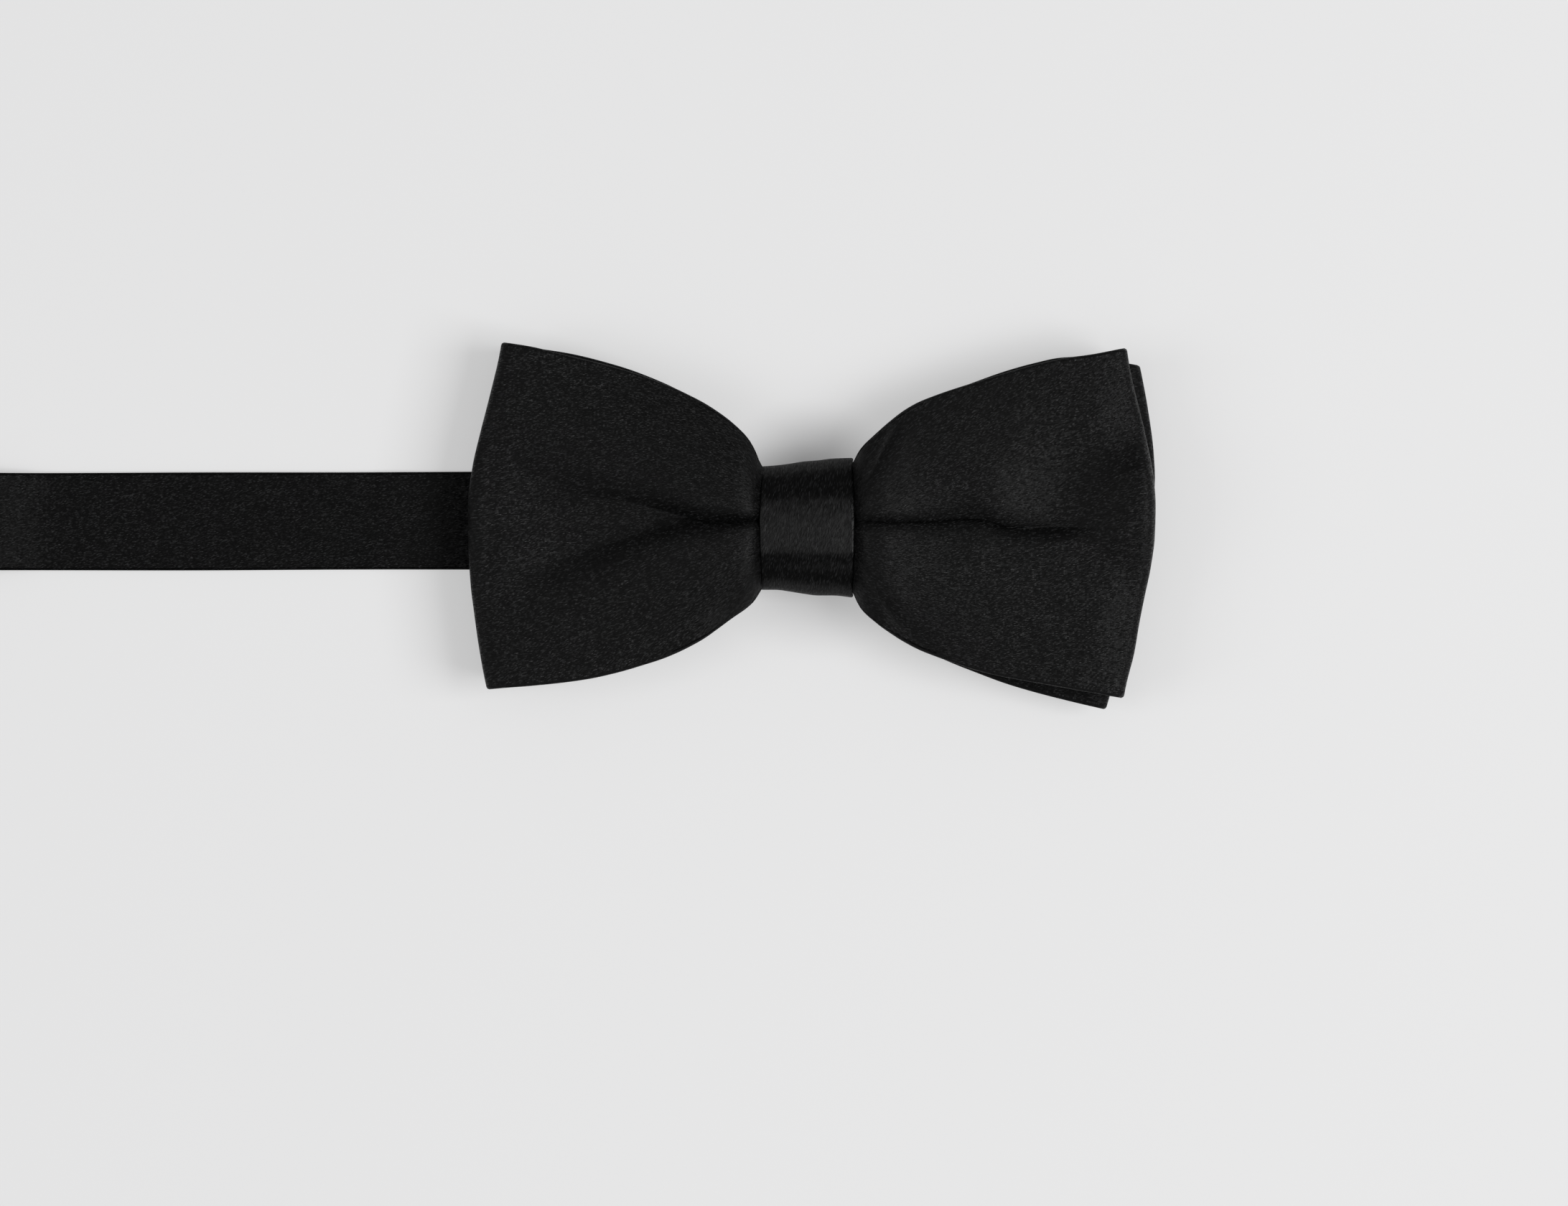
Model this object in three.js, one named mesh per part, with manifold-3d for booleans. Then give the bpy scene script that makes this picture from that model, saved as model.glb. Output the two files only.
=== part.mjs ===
// Pre-tied bow tie on an adjustable satin neckband, lying face up.
// Millimetres, +Z up. Origin: under the middle of the knot, on the surface it lies on.
// +X to the wearer's short end of the band, +Y to the bow's upper edge, +Z out of the bow's front.
import * as THREE from 'three';
import { mergeVertices } from 'three/addons/utils/BufferGeometryUtils.js';
import Module from 'manifold-3d';

const wasm = await Module();
wasm.setup();

// ---------- driving dimensions ----------
const GAP = 0.3;                 // clearance between neighbouring pieces
const SATIN_T = 0.3;             // one satin layer of a bow panel
const STIFF_T = 0.5;             // bow interlining
const PANEL_T = 1.6;             // satin + interlining + satin, with their gaps
const SLIT = 1.2;                // open seam down the inside of each bow panel
const FOLD_R = 1.5;              // middle radius of a wing's outer fold

const KNOT_W = 16.2;             // knot along X
const KNOT_H = 23.5;             // knot along Y
const KNOT_T = 14.0;             // knot along Z
const KNOT_CORNER = 2.8;         // front corners
const KNOT_EDGE = 1.2;           // corners on the underside
const WRAP_T = 0.6;
const LINER_T = 0.4;
const THREAD_T = 0.6;
const THREAD_W = 4.0;
const WRAP_SEAM_Y = 6.0;         // where the wrap's ends meet, on the underside
const WRAP_SEAM_W = 1.3;

const BAND_W = 17.2;             // neckband width
const BAND_T = 0.8;
const BAND_Y = 1.2;              // the band's middle, a little above the knot's
const BAND_FLOOR = 0.1;
const BAND_KNOT_Z = 2.0;         // middle of the band inside the knot
const SLIDE_U = 170;             // adjuster slide's centre bar, left of the knot
const HOOK_U = 295;              // hook's bar, left of the knot
const RAISED_U = 146;            // beyond here the outgoing strand runs over the returning one
const STRAND_OUT_Z = 3.7;        // middle of the outgoing strand
const STRAND_BACK_Z = 0.5;       // middle of the returning strand
const EYE_X = 44;                // eye's bar, right of the knot

// Wing outlines: distance from the middle, upper edge, lower edge.
const FRONT_LEFT = [
  [0, 9.1, -9.1], [7.9, 9.1, -9.1], [8.8, 11.4, -11.2], [9.6, 13.6, -12.7], [10.6, 15.6, -13.8],
  [13.1, 18.3, -15.8], [15.6, 20.2, -17.7], [18.1, 21.9, -19.5], [20.6, 23.2, -20.9],
  [25.6, 25.6, -23.1], [33.2, 28.0, -25.4], [38.2, 29.3, -26.5], [43.2, 30.5, -27.2],
  [48.2, 31.6, -27.7], [53.3, 32.4, -28.1], [59.5, 33.3, -28.6],
];
const FRONT_RIGHT = [
  [0, 9.1, -9.1], [7.9, 9.1, -9.1], [8.8, 11.4, -11.6], [9.6, 13.6, -14.0], [12.1, 16.3, -16.6],
  [14.6, 18.6, -18.5], [17.1, 20.5, -20.1], [19.6, 21.9, -21.4], [24.6, 23.9, -23.4],
  [29.6, 25.6, -25.0], [37.3, 27.7, -26.7], [45.5, 29.4, -28.1], [53.3, 30.7, -29.6],
  [61.0, 32.2, -30.5],
];
const BACK_LEFT = [
  [0, 9.1, -9.1], [7.9, 9.1, -9.1], [8.8, 11.0, -10.6], [10.6, 14.8, -12.8], [15.6, 19.6, -16.6],
  [20.6, 22.9, -19.8], [25.6, 25.4, -22.0], [33.2, 28.2, -24.5], [43.2, 30.8, -26.4],
  [53.3, 31.8, -27.2], [59.5, 32.2, -27.6],
];
const BACK_RIGHT = [
  [0, 9.1, -9.1], [7.9, 9.1, -9.1], [8.8, 11.0, -11.2], [10.6, 13.8, -14.4], [14.6, 17.8, -17.9],
  [19.6, 21.2, -21.0], [24.6, 23.4, -23.4], [29.6, 25.4, -25.4], [34.7, 26.9, -27.3],
  [44.7, 28.6, -30.0], [52.4, 28.6, -31.8], [60.0, 28.3, -33.2],
];
// Wing ends: how far out the outer fold lies, from the lower corner (-1) to the upper (+1).
const END_FRONT_LEFT = [[-1, 55.9], [-0.7, 57.5], [-0.33, 58.8], [0.12, 59.2], [0.48, 57.3], [1, 53.4]];
const END_FRONT_RIGHT = [[-1, 55.3], [-0.73, 57.2], [-0.4, 59.0], [-0.06, 60.7], [0.25, 60.7], [0.53, 59.0], [1, 55.9]];
const END_BACK_LEFT = [[-1, 54.8], [-0.7, 56.6], [-0.33, 57.9], [0.12, 58.2], [0.48, 56.4], [1, 52.4]];
const END_BACK_RIGHT = [[-1, 52.4], [-0.73, 54.8], [-0.4, 57.2], [-0.06, 59.2], [0.25, 60.6], [0.6, 60.2], [1, 57.9]];

// ---------- materials ----------
const satin = new THREE.MeshStandardMaterial({ color: 0x121213, roughness: 0.5, metalness: 0 });
const lining = new THREE.MeshStandardMaterial({ color: 0x1a1a1c, roughness: 0.95, metalness: 0 });
const thread = new THREE.MeshStandardMaterial({ color: 0x0e0e10, roughness: 0.6, metalness: 0 });
const nickel = new THREE.MeshStandardMaterial({ color: 0xb9bbbd, roughness: 0.28, metalness: 1 });

// ---------- helpers ----------
const group = new THREE.Group();
function put(name, geometry, material) {
  const mesh = new THREE.Mesh(geometry, material.clone());
  mesh.name = name;
  group.add(mesh);
}

function lookup(table, x, column = 1) {
  for (let i = 1; i < table.length; i++) {
    if (x <= table[i][0]) {
      const a = table[i - 1], b = table[i];
      const f = Math.max(0, (x - a[0]) / (b[0] - a[0]));
      return a[column] + (b[column] - a[column]) * f;
    }
  }
  return table[table.length - 1][column];
}

// A closed solid from rings of points: rings[i][k], joined end to end when looped.
function ringSolid(rings, looped) {
  const n = rings.length, m = rings[0].length, pos = [], idx = [];
  for (const ring of rings) for (const p of ring) pos.push(p.x, p.y, p.z);
  const steps = looped ? n : n - 1;
  for (let i = 0; i < steps; i++) {
    const a = i * m, b = ((i + 1) % n) * m;
    for (let k = 0; k < m; k++) {
      const k2 = (k + 1) % m;
      idx.push(a + k, b + k2, a + k2, a + k, b + k, b + k2);
    }
  }
  const g = new THREE.BufferGeometry();
  g.setAttribute('position', new THREE.Float32BufferAttribute(pos, 3));
  g.setIndex(idx);
  return g;
}

// A flat strip of cloth: a side view (x, z) of its middle line, given thickness and width.
function strip(points, thickness, width, yMid) {
  const up = [], down = [];
  for (let i = 0; i < points.length; i++) {
    const a = points[Math.max(0, i - 1)], b = points[i], c = points[Math.min(points.length - 1, i + 1)];
    const d1 = new THREE.Vector2(b[0] - a[0], b[1] - a[1]);
    const d2 = new THREE.Vector2(c[0] - b[0], c[1] - b[1]);
    if (d1.length() < 1e-9) d1.copy(d2);
    if (d2.length() < 1e-9) d2.copy(d1);
    d1.normalize();
    d2.normalize();
    const t = d1.clone().add(d2).normalize();
    const nrm = new THREE.Vector2(-t.y, t.x);
    const miter = 1 / Math.max(0.7, nrm.dot(new THREE.Vector2(-d1.y, d1.x)));
    const r = (thickness / 2) * miter;
    up.push(new THREE.Vector2(b[0] + nrm.x * r, b[1] + nrm.y * r));
    down.push(new THREE.Vector2(b[0] - nrm.x * r, b[1] - nrm.y * r));
  }
  return sideExtrude(new THREE.Shape(up.concat(down.reverse())), width, yMid);
}

// Extrude a side view (x, z) across Y, centred on yMid.
function sideExtrude(shape, width, yMid) {
  const g = new THREE.ExtrudeGeometry(shape, { depth: width, bevelEnabled: false, curveSegments: 8 });
  g.rotateX(Math.PI / 2);
  g.translate(0, yMid + width / 2, 0);
  return g;
}

// Extrude an end view (y, z) along X, centred on x = 0.
function endExtrude(shape, length) {
  const g = new THREE.ExtrudeGeometry(shape, { depth: length, bevelEnabled: false, curveSegments: 5 });
  g.translate(0, 0, -length / 2);
  g.applyMatrix4(new THREE.Matrix4().makeBasis(
    new THREE.Vector3(0, 1, 0), new THREE.Vector3(0, 0, 1), new THREE.Vector3(1, 0, 0)));
  return g;
}

function arc(cx, cz, r, from, to, steps) {
  const out = [];
  for (let i = 0; i <= steps; i++) {
    const a = (from + ((to - from) * i) / steps) * Math.PI / 180;
    out.push([cx + r * Math.cos(a), cz + r * Math.sin(a)]);
  }
  return out;
}

function toSolid(geometry) {
  let g = geometry.clone();
  g.deleteAttribute('normal');
  g.deleteAttribute('uv');
  g = mergeVertices(g, 1e-4);
  return new wasm.Manifold(new wasm.Mesh({
    numProp: 3,
    vertProperties: new Float32Array(g.attributes.position.array),
    triVerts: new Uint32Array(g.index.array),
  }));
}

function fromSolid(solid) {
  const m = solid.getMesh();
  const g = new THREE.BufferGeometry();
  g.setAttribute('position', new THREE.Float32BufferAttribute(Array.from(m.vertProperties), 3));
  g.setIndex(Array.from(m.triVerts));
  return g;
}

function joinAll(list) {
  return fromSolid(list.map(toSolid).reduce((a, b) => a.add(b)));
}

function block(x0, x1, y0, y1, z0, z1) {
  const g = new THREE.BoxGeometry(x1 - x0, y1 - y0, z1 - z0);
  g.translate((x0 + x1) / 2, (y0 + y1) / 2, (z0 + z1) / 2);
  return g;
}

function rodY(x, z, r, y0, y1) {
  const g = new THREE.CylinderGeometry(r, r, y1 - y0, 16);
  g.translate(x, (y0 + y1) / 2, z);
  return g;
}

// ---------- the two bows ----------
// Each bow is a strip folded into a flat loop and pinched in the middle: two panels on each
// side of the knot, joined by a soft fold at each wing's outer end.
const ACROSS = [-1, -0.62, -0.28, 0, 0.28, 0.62, 1];
const ALONG = [0, 0.06, 0.128, 0.15, 0.185, 0.25, 0.36, 0.52, 0.72, 0.9, 1];
const TURN = [60, 30, 0, -30, -60];

function bowGrid(spec) {
  const stations = [];
  const add = (side, tau, face, turn) => stations.push({ side, tau, face, turn });
  for (const t of ALONG) add(1, t, 1, null);
  for (const a of TURN) add(1, 1, 0, a);
  for (const t of [...ALONG].reverse()) add(1, t, -1, null);
  for (const t of ALONG.slice(1)) add(-1, t, -1, null);
  for (const a of [...TURN].reverse()) add(-1, 1, 0, a);
  for (const t of [...ALONG].slice(1).reverse()) add(-1, t, 1, null);

  const midZ = (spec.top(1) + spec.bottom(1)) / 2;
  return stations.map(({ side, tau, face, turn }) => ACROSS.map((v) => {
    const ends = side > 0 ? spec.endRight : spec.endLeft;
    const edge = side > 0 ? spec.right : spec.left;
    const reach = lookup(ends, v);
    const outer = PANEL_T / 2;
    let x, z;
    if (turn === null) {
      x = (reach - outer - FOLD_R) * tau;
      z = face > 0 ? spec.top(tau) - spec.crease(tau, v, side) : spec.bottom(tau);
    } else {
      const a = turn * Math.PI / 180;
      x = reach - outer - FOLD_R + FOLD_R * Math.cos(a);
      z = midZ + FOLD_R * Math.sin(a);
    }
    const corner = lookup(ends, Math.sign(v) || 1);
    const along = (x / reach) * corner;
    const y = v >= 0 ? v * lookup(edge, along, 1) : -v * lookup(edge, along, 2);
    return new THREE.Vector3(side * x, y, z);
  }));
}

function gridFrames(grid) {
  const n = grid.length, m = ACROSS.length;
  return grid.map((row, i) => row.map((p, j) => {
    const ds = grid[(i + 1) % n][j].clone().sub(grid[(i + n - 1) % n][j]);
    const dv = row[Math.min(m - 1, j + 1)].clone().sub(row[Math.max(0, j - 1)]);
    const across = dv.clone().normalize();
    const normal = ds.clone().cross(dv).normalize();
    return { p, across, normal };
  }));
}

const at = (f, inward, out) => f.p.clone().addScaledVector(f.across, inward).addScaledVector(f.normal, out);

// Satin cover: outer face, both long edges turned in, and the two turned-in halves meeting
// at an open seam on the loop's inner side.
function coverRing(row) {
  const half = PANEL_T / 2, inner = half - SATIN_T, last = row.length - 1, mid = (row.length - 1) / 2;
  const ring = [];
  for (let j = 0; j <= last; j++) ring.push(at(row[j], 0, half));
  ring.push(at(row[last], 0, -half));
  for (let j = last - 1; j > mid; j--) ring.push(at(row[j], 0, -half));
  ring.push(at(row[mid], SLIT / 2, -half));
  ring.push(at(row[mid], SLIT / 2, -inner));
  for (let j = mid + 1; j < last; j++) ring.push(at(row[j], 0, -inner));
  ring.push(at(row[last], -SATIN_T, -inner));
  ring.push(at(row[last], -SATIN_T, inner));
  for (let j = last - 1; j > 0; j--) ring.push(at(row[j], 0, inner));
  ring.push(at(row[0], SATIN_T, inner));
  ring.push(at(row[0], SATIN_T, -inner));
  for (let j = 1; j < mid; j++) ring.push(at(row[j], 0, -inner));
  ring.push(at(row[mid], -SLIT / 2, -inner));
  ring.push(at(row[mid], -SLIT / 2, -half));
  for (let j = mid - 1; j > 0; j--) ring.push(at(row[j], 0, -half));
  ring.push(at(row[0], 0, -half));
  return ring;
}

function stiffenerRing(row) {
  const h = STIFF_T / 2, last = row.length - 1, edge = SATIN_T + GAP, ring = [];
  ring.push(at(row[0], edge, h));
  for (let j = 1; j < last; j++) ring.push(at(row[j], 0, h));
  ring.push(at(row[last], -edge, h));
  ring.push(at(row[last], -edge, -h));
  for (let j = last - 1; j > 0; j--) ring.push(at(row[j], 0, -h));
  ring.push(at(row[0], edge, -h));
  return ring;
}

const level = (table) => (t) => lookup(table, t);
const frontBow = {
  left: FRONT_LEFT, right: FRONT_RIGHT, endLeft: END_FRONT_LEFT, endRight: END_FRONT_RIGHT,
  bottom: level([[0, 8.2], [0.15, 8.2], [0.3, 9.9], [1, 10.2]]),
  top: level([[0, 10.1], [0.15, 10.1], [0.2, 12.6], [0.3, 14.2], [0.5, 14.9], [0.8, 14.3], [1, 13.4]]),
  crease: (t, v, side) => {
    const depth = lookup([[0, 0], [0.15, 0], [0.25, 1.0], [0.5, 1.2], [0.85, 0.3], [1, 0]], t);
    return depth * Math.exp(-((v - 0.05) ** 2) / 0.03);
  },
};
const backBow = {
  left: BACK_LEFT, right: BACK_RIGHT, endLeft: END_BACK_LEFT, endRight: END_BACK_RIGHT,
  bottom: level([[0, 4.4], [0.15, 4.4], [0.3, 5.0], [1, 5.2]]),
  top: level([[0, 6.3], [0.15, 6.3], [0.3, 7.8], [0.6, 8.1], [1, 8.2]]),
  crease: () => 0,
};
for (const [name, spec] of [['front_bow', frontBow], ['back_bow', backBow]]) {
  const rows = gridFrames(bowGrid(spec));
  put(name, ringSolid(rows.map(coverRing), true), satin);
  put(`${name}_interlining`, ringSolid(rows.map(stiffenerRing), true), lining);
}

// ---------- the knot ----------
// Rings round the waist, from the outside in: satin wrap, its stiffening strip, binding thread.
function roundedBox(y0, y1, z0, z1, low, high) {
  const s = new THREE.Path();
  s.moveTo(y0 + low, z0);
  s.lineTo(y1 - low, z0);
  s.quadraticCurveTo(y1, z0, y1, z0 + low);
  s.lineTo(y1, z1 - high);
  s.quadraticCurveTo(y1, z1, y1 - high, z1);
  s.lineTo(y0 + high, z1);
  s.quadraticCurveTo(y0, z1, y0, z1 - high);
  s.lineTo(y0, z0 + low);
  s.quadraticCurveTo(y0, z0, y0 + low, z0);
  return s;
}

function ringShape(inset, thickness, zLow) {
  const half = KNOT_H / 2 - inset, low = inset + zLow, high = KNOT_T - inset, t = thickness;
  const soft = (r, cut) => Math.max(0.3, r - cut);
  const shape = new THREE.Shape(roundedBox(-half, half, low, high,
    soft(KNOT_EDGE, inset), soft(KNOT_CORNER, inset)).getPoints(5));
  shape.holes.push(roundedBox(-half + t, half - t, low + t, high - t,
    soft(KNOT_EDGE, inset + t), soft(KNOT_CORNER, inset + t)));
  return shape;
}

{
  const wrap = toSolid(endExtrude(ringShape(0, WRAP_T, 0), KNOT_W));
  const seam = toSolid(block(-KNOT_W, KNOT_W, WRAP_SEAM_Y - WRAP_SEAM_W / 2, WRAP_SEAM_Y + WRAP_SEAM_W / 2, -1, WRAP_T + 0.2));
  put('knot_wrap', fromSolid(wrap.subtract(seam)), satin);
  put('knot_interlining', endExtrude(ringShape(WRAP_T + GAP, LINER_T, 0), KNOT_W - 0.8), lining);
  const t0 = WRAP_T + LINER_T + 2 * GAP;
  put('pinch_thread', endExtrude(ringShape(t0, THREAD_T, BAND_T + GAP), THREAD_W), thread);

  // one thread laced from side to side along the wrap's seam, just above the resting face
  const zig = [], zag = [], bites = 9, w = WRAP_SEAM_W / 2 - GAP;
  for (let i = 0; i <= bites; i++) {
    const x = -KNOT_W / 2 + 1 + ((KNOT_W - 2) * i) / bites;
    const y = (i % 2 ? 1 : -1) * (w - 0.15);
    zig.push(new THREE.Vector2(x, y + 0.15));
    zag.push(new THREE.Vector2(x, y - 0.15));
  }
  const lace = new THREE.ExtrudeGeometry(new THREE.Shape(zag.concat(zig.reverse())), { depth: 0.35, bevelEnabled: false });
  lace.translate(0, WRAP_SEAM_Y, 0.15);
  put('knot_stitches', lace, thread);
}

// ---------- the neckband ----------
const FOLD_START = HOOK_U - 3;
{
  const low = BAND_FLOOR + BAND_T / 2;
  const out = [
    [KNOT_W / 2 + 0.2, BAND_KNOT_Z], [-KNOT_W / 2 - 0.8, BAND_KNOT_Z], [-14, 1.5], [-24, 0.8], [-34, low],
    [-64, low], [-71, low + 0.35], [-78, low], [-132, low],
    [-136, 1.1], [-142, 3.0], [-RAISED_U, STRAND_OUT_Z], [-FOLD_START + GAP, STRAND_OUT_Z],
  ];
  put('neckband_long', strip(out, BAND_T, BAND_W, BAND_Y), satin);

  // round the hook's bar
  const r = (STRAND_OUT_Z - STRAND_BACK_Z) / 2, zBar = (STRAND_OUT_Z + STRAND_BACK_Z) / 2;
  put('neckband_fold', strip([[-FOLD_START, STRAND_OUT_Z], ...arc(-HOOK_U, zBar, r, 90, 270, 10),
    [-FOLD_START, STRAND_BACK_Z]], BAND_T, BAND_W, BAND_Y), satin);

  // back to the slide, round its centre bar, and sewn down on itself
  const zr = 1.55, rr = zr - STRAND_BACK_Z;
  put('neckband_return', strip([[-FOLD_START + GAP, STRAND_BACK_Z], ...arc(-SLIDE_U, zr, rr, -90, 90, 8),
    [-SLIDE_U - 2.4, 2 * zr - STRAND_BACK_Z], [-SLIDE_U - 5.0, STRAND_BACK_Z + BAND_T + GAP],
    [-SLIDE_U - 12, STRAND_BACK_Z + BAND_T + GAP]], BAND_T, BAND_W, BAND_Y), satin);

  // the short end, out of the knot and round the eye's bar
  const ze = 1.8, re = ze - STRAND_BACK_Z;
  put('neckband_short', strip([[KNOT_W / 2 + 0.5, BAND_KNOT_Z], [12, 1.7], [18, 1.0], [25, low], [EYE_X - 1, low],
    ...arc(EYE_X, ze, re, -90, 90, 8), [EYE_X - 2.6, 2 * ze - low], [EYE_X - 6, low + BAND_T + GAP],
    [EYE_X - 14, low + BAND_T + GAP]], BAND_T, BAND_W, BAND_Y), satin);
}

// a dense bar of stitches across a sewn-down end
function barTack(x, zTop) {
  const a = [], b = [], bites = 20, span = BAND_W - 4;
  for (let i = 0; i <= bites; i++) {
    const y = -span / 2 + (span * i) / bites;
    const dx = (i % 2 ? 1 : -1) * 0.55;
    a.push(new THREE.Vector2(x + dx + 0.3, BAND_Y + y));
    b.push(new THREE.Vector2(x + dx - 0.3, BAND_Y + y));
  }
  const g = new THREE.ExtrudeGeometry(new THREE.Shape(a.concat(b.reverse())), { depth: 0.3, bevelEnabled: false });
  g.translate(0, 0, zTop + GAP);
  return g;
}
const TAB_TOP = BAND_FLOOR + 2 * BAND_T + GAP;
put('slide_bartack', barTack(-SLIDE_U - 8.5, TAB_TOP), thread);
put('eye_bartack', barTack(EYE_X - 10.5, TAB_TOP), thread);

// ---------- the fittings ----------
const RAIL_IN = BAND_W / 2 + 0.8, RAIL_OUT = BAND_W / 2 + 2.2;
function rails(x0, x1, z0, z1) {
  return [
    block(x0, x1, BAND_Y + RAIL_IN, BAND_Y + RAIL_OUT, z0, z1),
    block(x0, x1, BAND_Y - RAIL_OUT, BAND_Y - RAIL_IN, z0, z1),
  ];
}
const Y0 = BAND_Y - RAIL_OUT + 0.3, Y1 = BAND_Y + RAIL_OUT - 0.3;

// adjuster slide: pressed frame, centre bar below the outgoing strand, end bars above it
put('adjuster_slide', joinAll([
  ...rails(-SLIDE_U - 6, -SLIDE_U + 6, 0, 5.1),
  rodY(-SLIDE_U, 1.55, 0.35, Y0, Y1),
  block(-SLIDE_U - 6, -SLIDE_U - 4.6, Y0, Y1, 4.4, 5.1),
  block(-SLIDE_U + 4.6, -SLIDE_U + 6, Y0, Y1, 4.4, 5.1),
]), nickel);

// hook: bar for the band, side rails, front plate and a turned-back tongue
{
  const zBar = 2.1, x = -HOOK_U;
  const tongue = new THREE.Shape([
    [x - 5.4, 1.7], [x - 16.0, 1.7], ...arc(x - 16.0, 3.35, 1.65, 270, 90, 8), [x - 8.0, 5.0], [x - 6.6, 5.5],
    [x - 6.3, 4.75], [x - 7.9, 4.1], [x - 16.0, 4.1], ...arc(x - 16.0, 3.35, 0.75, 90, 270, 6), [x - 5.4, 2.6],
  ].map(([a, b]) => new THREE.Vector2(a, b)));
  put('hook', joinAll([
    ...rails(x - 6.6, x + 1.2, 0, 3.0),
    rodY(x, zBar, 0.85, Y0, Y1),
    block(x - 6.6, x - 4.4, Y0, Y1, 1.6, 2.7),
    sideExtrude(tongue, 8, BAND_Y),
  ]), nickel);
}

// eye: a plain rectangular loop the hook drops into
put('eye', joinAll([
  ...rails(EYE_X - 1.2, EYE_X + 10, 0, 2.5),
  rodY(EYE_X, 1.8, 0.6, Y0, Y1),
  block(EYE_X + 8.4, EYE_X + 10, Y0, Y1, 1.1, 2.3),
]), nickel);

export default group;
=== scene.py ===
import math

import bpy
import numpy as np
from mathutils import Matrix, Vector


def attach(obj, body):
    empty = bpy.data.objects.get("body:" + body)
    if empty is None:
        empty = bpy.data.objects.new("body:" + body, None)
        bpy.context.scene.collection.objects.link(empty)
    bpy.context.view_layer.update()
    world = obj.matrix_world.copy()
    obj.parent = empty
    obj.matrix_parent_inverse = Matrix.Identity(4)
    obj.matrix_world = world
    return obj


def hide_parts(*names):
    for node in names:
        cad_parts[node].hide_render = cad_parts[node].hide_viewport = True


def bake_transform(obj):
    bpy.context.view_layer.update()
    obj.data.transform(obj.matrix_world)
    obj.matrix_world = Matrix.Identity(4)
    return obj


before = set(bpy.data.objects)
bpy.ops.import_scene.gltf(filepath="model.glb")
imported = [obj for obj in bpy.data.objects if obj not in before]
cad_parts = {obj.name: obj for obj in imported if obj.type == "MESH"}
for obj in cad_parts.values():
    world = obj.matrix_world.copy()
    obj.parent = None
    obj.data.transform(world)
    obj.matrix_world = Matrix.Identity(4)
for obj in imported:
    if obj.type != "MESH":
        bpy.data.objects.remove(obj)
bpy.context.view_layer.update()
MM = 0.001

# ------------------------------------------------------------------ camera
VIEW_W = 0.2744                    # width of the view at the bow, metres
LENS, SENSOR = 200.0, 36.0
CAM_D = VIEW_W * LENS / SENSOR
cam_data = bpy.data.cameras.new("camera")
cam_data.lens, cam_data.sensor_width = LENS, SENSOR
cam_data.clip_start, cam_data.clip_end = 0.05, 20
cam = bpy.data.objects.new("camera", cam_data)
cam.location = (-0.0040, -0.0132, CAM_D + 0.008)
cam.rotation_euler = (0, 0, 0)
bpy.context.collection.objects.link(cam)
bpy.context.scene.camera = cam
bpy.context.scene.view_settings.view_transform = "Standard"


# ------------------------------------------------------------------ small maths
def pchip(xs, ys):
    """Monotone cubic through the points, as a function of arrays."""
    xs, ys = np.asarray(xs, float), np.asarray(ys, float)
    h = np.diff(xs)
    d = np.diff(ys) / h
    m = np.zeros_like(ys)
    m[0], m[-1] = d[0], d[-1]
    for i in range(1, len(xs) - 1):
        if d[i - 1] * d[i] > 0:
            w1, w2 = 2 * h[i] + h[i - 1], h[i] + 2 * h[i - 1]
            m[i] = (w1 + w2) / (w1 / d[i - 1] + w2 / d[i])

    def f(x):
        x = np.asarray(x, float)
        i = np.clip(np.searchsorted(xs, x) - 1, 0, len(h) - 1)
        t = np.clip((x - xs[i]) / h[i], 0, 1)
        t2, t3 = t * t, t * t * t
        return (
            (2 * t3 - 3 * t2 + 1) * ys[i]
            + (t3 - 2 * t2 + t) * h[i] * m[i]
            + (-2 * t3 + 3 * t2) * ys[i + 1]
            + (t3 - t2) * h[i] * m[i + 1]
        )

    return f


def smooth(a, b, x):
    t = np.clip((np.asarray(x, float) - a) / (b - a), 0, 1)
    return t * t * (3 - 2 * t)


def waves(x, y, seed, scale, octaves=3):
    """Soft, repeatable unevenness, from -1 to 1."""
    rng = np.random.RandomState(seed)
    total, norm = 0, 0
    for o in range(octaves):
        for _ in range(5):
            a = rng.uniform(0, 2 * math.pi)
            k = 2 * math.pi / scale * (1.9**o) * rng.uniform(0.75, 1.3)
            p = rng.uniform(0, 2 * math.pi)
            w = 0.55**o
            total = total + w * np.sin(k * (x * math.cos(a) + y * math.sin(a)) + p)
            norm += w * 0.6
    return total / norm


# ------------------------------------------------------------------ materials
def nodes_of(name):
    mat = bpy.data.materials.new(name)
    mat.use_nodes = True
    nt = mat.node_tree
    bsdf = nt.nodes["Principled BSDF"]
    return mat, nt, bsdf


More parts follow.
